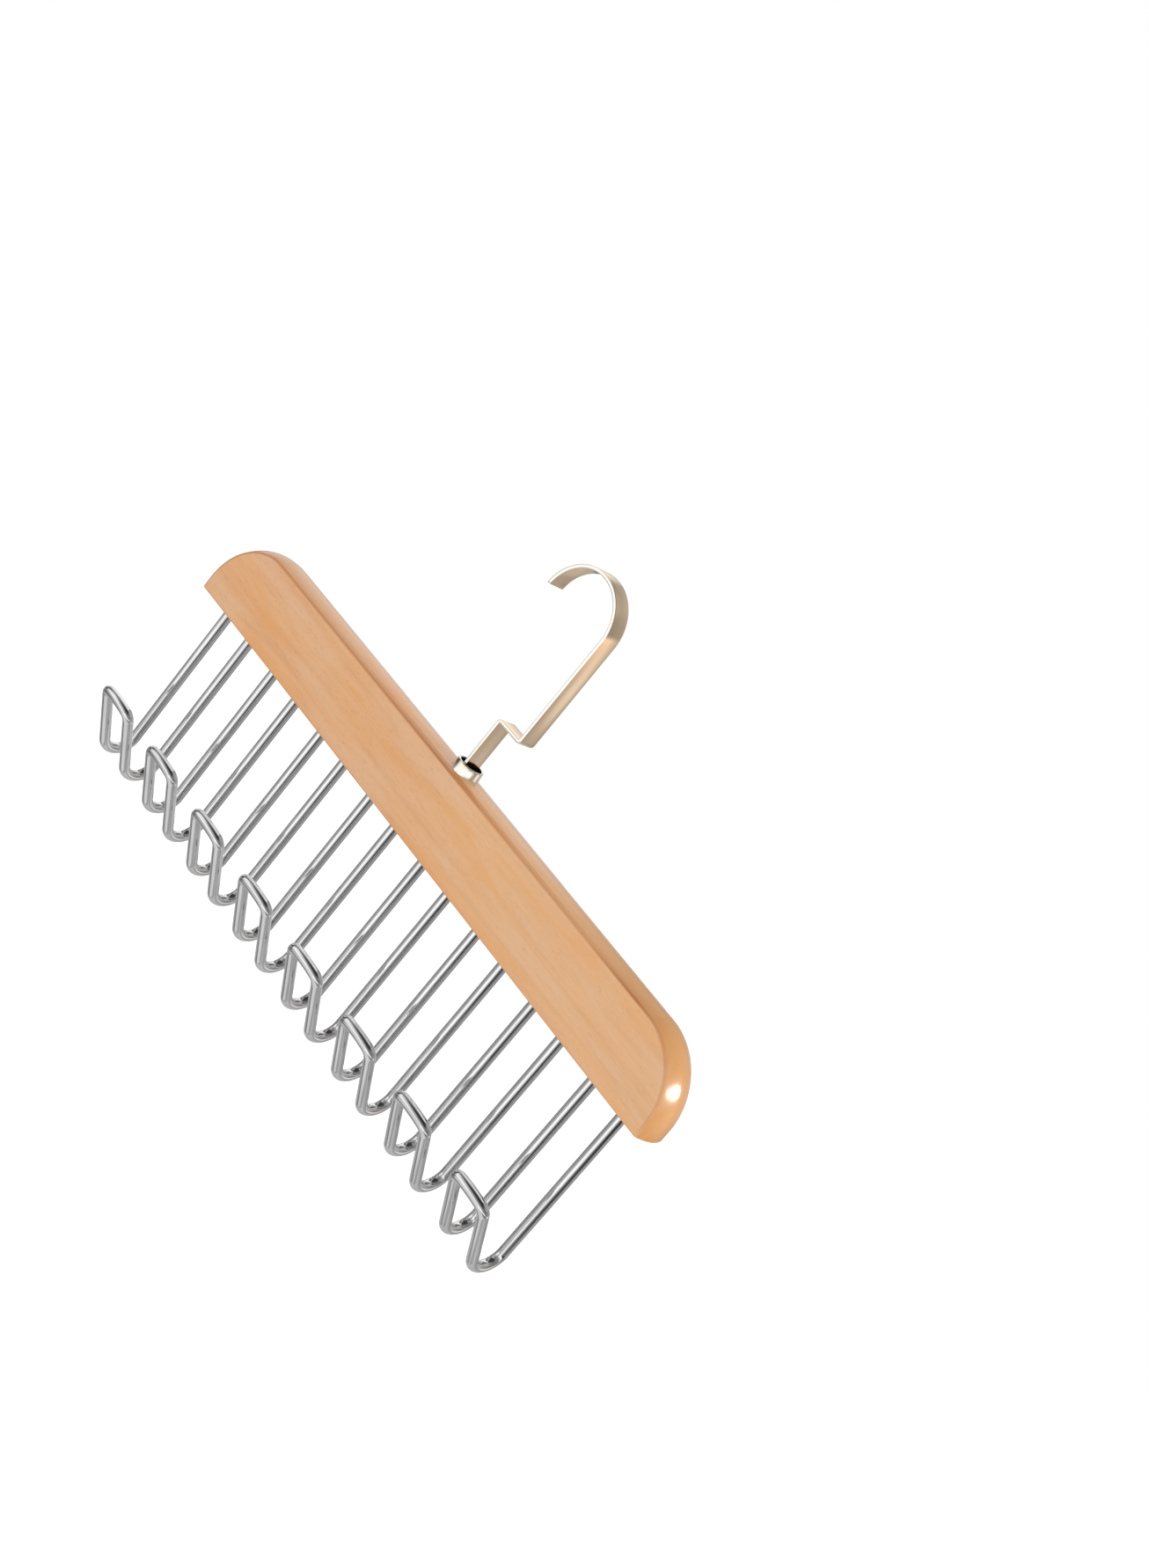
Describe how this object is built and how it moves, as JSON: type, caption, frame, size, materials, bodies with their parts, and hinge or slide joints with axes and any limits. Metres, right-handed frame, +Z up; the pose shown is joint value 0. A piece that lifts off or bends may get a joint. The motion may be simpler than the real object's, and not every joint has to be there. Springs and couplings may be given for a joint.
{
  "type": "multi-hook hanger",
  "caption": "Wooden hanger bar with a row of bent wire hooks below for belts or ties, and a flat swivel hook above that hangs on a rail.",
  "frame": {"origin": "the rail seat: the inside top of the flat hook's arc, where the hanger rests on its rail", "axes": "+Z up; +X along the bar, towards the side that the flat hook's stem jogs to; the wire hooks reach forward along -Y"},
  "size_m": [0.3532, 0.0447, 0.2255],
  "materials": {
    "beech": "satin lacquer",
    "chrome_wire": "bright chrome plate",
    "champagne_strip": "satin champagne plate",
    "polished_collar": "polished pale gold plate",
    "bush_brass": "as turned",
    "pin_steel": "as turned"
  },
  "bodies": {
    "hook": {"hook_strip": "champagne_strip", "swivel_pin": "pin_steel", "pin_washer": "pin_steel"},
    "bar": {"wooden_bar": "beech", "collar": "polished_collar", "barbed_bush": "bush_brass", "wire_hook_1": "chrome_wire", "wire_hook_2": "chrome_wire", "wire_hook_3": "chrome_wire", "wire_hook_4": "chrome_wire", "wire_hook_5": "chrome_wire", "wire_hook_6": "chrome_wire", "wire_hook_7": "chrome_wire", "wire_hook_8": "chrome_wire"}
  },
  "joints": [
    {"name": "hook_swivel", "type": "hinge", "parent": "hook", "child": "bar", "pos_m": [0.0051, 0, -0.10145], "axis": [0, 0, 1], "continuous": true}
  ]
}
